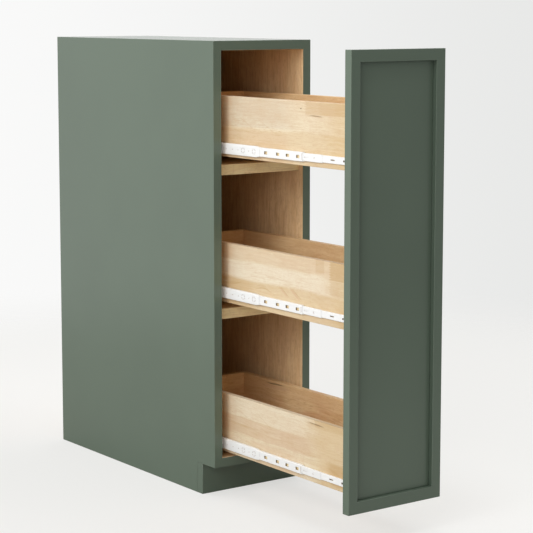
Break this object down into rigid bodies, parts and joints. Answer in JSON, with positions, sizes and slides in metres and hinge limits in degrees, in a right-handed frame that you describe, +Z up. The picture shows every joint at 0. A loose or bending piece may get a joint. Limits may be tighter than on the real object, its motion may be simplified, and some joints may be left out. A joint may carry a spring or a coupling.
{
  "type": "narrow pull-out base cabinet",
  "caption": "Narrow painted base cabinet with a toe kick; its full-height slim-shaker front pulls out stacked wooden drawer boxes on telescopic ball-bearing slides.",
  "frame": {"origin": "middle of the footprint of the part-open cabinet, on the floor", "axes": "+X to the right seen from the front, +Y from the front towards the back, +Z up"},
  "size_m": [0.2286, 0.9858, 0.8763],
  "materials": {
    "painted_green": "satin grey-green paint on board",
    "plywood": "clear-finished veneered plywood",
    "birch": "clear-finished solid light boards, finger-jointed",
    "white_steel": "white powder-coated pressed steel"
  },
  "bodies": {
    "carcass": {"left_side_panel": "painted_green", "right_side_panel": "painted_green", "top_panel": "painted_green", "bottom_panel": "painted_green", "toe_kick_board": "painted_green", "upper_shelf": "plywood", "lower_shelf": "plywood", "back_panel": "plywood", "upper_nailer": "plywood", "lower_nailer": "plywood", "upper_left_slide_cabinet_member": "white_steel", "upper_right_slide_cabinet_member": "white_steel", "middle_left_slide_cabinet_member": "white_steel", "middle_right_slide_cabinet_member": "white_steel", "lower_left_slide_cabinet_member": "white_steel", "lower_right_slide_cabinet_member": "white_steel"},
    "pullout": {"front_left_stile": "painted_green", "front_right_stile": "painted_green", "front_top_rail": "painted_green", "front_bottom_rail": "painted_green", "front_panel": "painted_green", "upper_drawer_left_side": "birch", "upper_drawer_right_side": "birch", "upper_drawer_front": "birch", "upper_drawer_back": "birch", "upper_drawer_floor": "birch", "middle_drawer_left_side": "birch", "middle_drawer_right_side": "birch", "middle_drawer_front": "birch", "middle_drawer_back": "birch", "middle_drawer_floor": "birch", "lower_drawer_left_side": "birch", "lower_drawer_right_side": "birch", "lower_drawer_front": "birch", "lower_drawer_back": "birch", "lower_drawer_floor": "birch", "upper_left_slide_drawer_member": "white_steel", "upper_right_slide_drawer_member": "white_steel", "middle_left_slide_drawer_member": "white_steel", "middle_right_slide_drawer_member": "white_steel", "lower_left_slide_drawer_member": "white_steel", "lower_right_slide_drawer_member": "white_steel"},
    "upper_left_outer_cage": {"upper_left_slide_outer_cage": "white_steel"},
    "upper_left_intermediate": {"upper_left_slide_intermediate": "white_steel"},
    "upper_left_inner_cage": {"upper_left_slide_inner_cage": "white_steel"},
    "upper_right_outer_cage": {"upper_right_slide_outer_cage": "white_steel"},
    "upper_right_intermediate": {"upper_right_slide_intermediate": "white_steel"},
    "upper_right_inner_cage": {"upper_right_slide_inner_cage": "white_steel"},
    "middle_left_outer_cage": {"middle_left_slide_outer_cage": "white_steel"},
    "middle_left_intermediate": {"middle_left_slide_intermediate": "white_steel"},
    "middle_left_inner_cage": {"middle_left_slide_inner_cage": "white_steel"},
    "middle_right_outer_cage": {"middle_right_slide_outer_cage": "white_steel"},
    "middle_right_intermediate": {"middle_right_slide_intermediate": "white_steel"},
    "middle_right_inner_cage": {"middle_right_slide_inner_cage": "white_steel"},
    "lower_left_outer_cage": {"lower_left_slide_outer_cage": "white_steel"},
    "lower_left_intermediate": {"lower_left_slide_intermediate": "white_steel"},
    "lower_left_inner_cage": {"lower_left_slide_inner_cage": "white_steel"},
    "lower_right_outer_cage": {"lower_right_slide_outer_cage": "white_steel"},
    "lower_right_intermediate": {"lower_right_slide_intermediate": "white_steel"},
    "lower_right_inner_cage": {"lower_right_slide_inner_cage": "white_steel"}
  },
  "joints": [
    {"name": "pullout_slide", "type": "slide", "parent": "carcass", "child": "pullout", "axis": [0, -1, 0], "range_m": [-0.3803, 0.1677]},
    {"name": "upper_left_outer_cage_slide", "type": "slide", "parent": "carcass", "child": "upper_left_outer_cage", "axis": [0, -1, 0], "range_m": [-0.11637, 0.05132]},
    {"name": "upper_left_intermediate_slide", "type": "slide", "parent": "carcass", "child": "upper_left_intermediate", "axis": [0, -1, 0], "range_m": [-0.23274, 0.10263]},
    {"name": "upper_left_inner_cage_slide", "type": "slide", "parent": "carcass", "child": "upper_left_inner_cage", "axis": [0, -1, 0], "range_m": [-0.30652, 0.13517]},
    {"name": "upper_right_outer_cage_slide", "type": "slide", "parent": "carcass", "child": "upper_right_outer_cage", "axis": [0, -1, 0], "range_m": [-0.11637, 0.05132]},
    {"name": "upper_right_intermediate_slide", "type": "slide", "parent": "carcass", "child": "upper_right_intermediate", "axis": [0, -1, 0], "range_m": [-0.23274, 0.10263]},
    {"name": "upper_right_inner_cage_slide", "type": "slide", "parent": "carcass", "child": "upper_right_inner_cage", "axis": [0, -1, 0], "range_m": [-0.30652, 0.13517]},
    {"name": "middle_left_outer_cage_slide", "type": "slide", "parent": "carcass", "child": "middle_left_outer_cage", "axis": [0, -1, 0], "range_m": [-0.11637, 0.05132]},
    {"name": "middle_left_intermediate_slide", "type": "slide", "parent": "carcass", "child": "middle_left_intermediate", "axis": [0, -1, 0], "range_m": [-0.23274, 0.10263]},
    {"name": "middle_left_inner_cage_slide", "type": "slide", "parent": "carcass", "child": "middle_left_inner_cage", "axis": [0, -1, 0], "range_m": [-0.30652, 0.13517]},
    {"name": "middle_right_outer_cage_slide", "type": "slide", "parent": "carcass", "child": "middle_right_outer_cage", "axis": [0, -1, 0], "range_m": [-0.11637, 0.05132]},
    {"name": "middle_right_intermediate_slide", "type": "slide", "parent": "carcass", "child": "middle_right_intermediate", "axis": [0, -1, 0], "range_m": [-0.23274, 0.10263]},
    {"name": "middle_right_inner_cage_slide", "type": "slide", "parent": "carcass", "child": "middle_right_inner_cage", "axis": [0, -1, 0], "range_m": [-0.30652, 0.13517]},
    {"name": "lower_left_outer_cage_slide", "type": "slide", "parent": "carcass", "child": "lower_left_outer_cage", "axis": [0, -1, 0], "range_m": [-0.11637, 0.05132]},
    {"name": "lower_left_intermediate_slide", "type": "slide", "parent": "carcass", "child": "lower_left_intermediate", "axis": [0, -1, 0], "range_m": [-0.23274, 0.10263]},
    {"name": "lower_left_inner_cage_slide", "type": "slide", "parent": "carcass", "child": "lower_left_inner_cage", "axis": [0, -1, 0], "range_m": [-0.30652, 0.13517]},
    {"name": "lower_right_outer_cage_slide", "type": "slide", "parent": "carcass", "child": "lower_right_outer_cage", "axis": [0, -1, 0], "range_m": [-0.11637, 0.05132]},
    {"name": "lower_right_intermediate_slide", "type": "slide", "parent": "carcass", "child": "lower_right_intermediate", "axis": [0, -1, 0], "range_m": [-0.23274, 0.10263]},
    {"name": "lower_right_inner_cage_slide", "type": "slide", "parent": "carcass", "child": "lower_right_inner_cage", "axis": [0, -1, 0], "range_m": [-0.30652, 0.13517]}
  ],
  "couplings": [
    {"joint": "upper_left_outer_cage_slide", "follows": "pullout_slide", "ratio": 0.306},
    {"joint": "upper_left_intermediate_slide", "follows": "pullout_slide", "ratio": 0.612},
    {"joint": "upper_left_inner_cage_slide", "follows": "pullout_slide", "ratio": 0.806},
    {"joint": "upper_right_outer_cage_slide", "follows": "pullout_slide", "ratio": 0.306},
    {"joint": "upper_right_intermediate_slide", "follows": "pullout_slide", "ratio": 0.612},
    {"joint": "upper_right_inner_cage_slide", "follows": "pullout_slide", "ratio": 0.806},
    {"joint": "middle_left_outer_cage_slide", "follows": "pullout_slide", "ratio": 0.306},
    {"joint": "middle_left_intermediate_slide", "follows": "pullout_slide", "ratio": 0.612},
    {"joint": "middle_left_inner_cage_slide", "follows": "pullout_slide", "ratio": 0.806},
    {"joint": "middle_right_outer_cage_slide", "follows": "pullout_slide", "ratio": 0.306},
    {"joint": "middle_right_intermediate_slide", "follows": "pullout_slide", "ratio": 0.612},
    {"joint": "middle_right_inner_cage_slide", "follows": "pullout_slide", "ratio": 0.806},
    {"joint": "lower_left_outer_cage_slide", "follows": "pullout_slide", "ratio": 0.306},
    {"joint": "lower_left_intermediate_slide", "follows": "pullout_slide", "ratio": 0.612},
    {"joint": "lower_left_inner_cage_slide", "follows": "pullout_slide", "ratio": 0.806},
    {"joint": "lower_right_outer_cage_slide", "follows": "pullout_slide", "ratio": 0.306},
    {"joint": "lower_right_intermediate_slide", "follows": "pullout_slide", "ratio": 0.612},
    {"joint": "lower_right_inner_cage_slide", "follows": "pullout_slide", "ratio": 0.806}
  ]
}
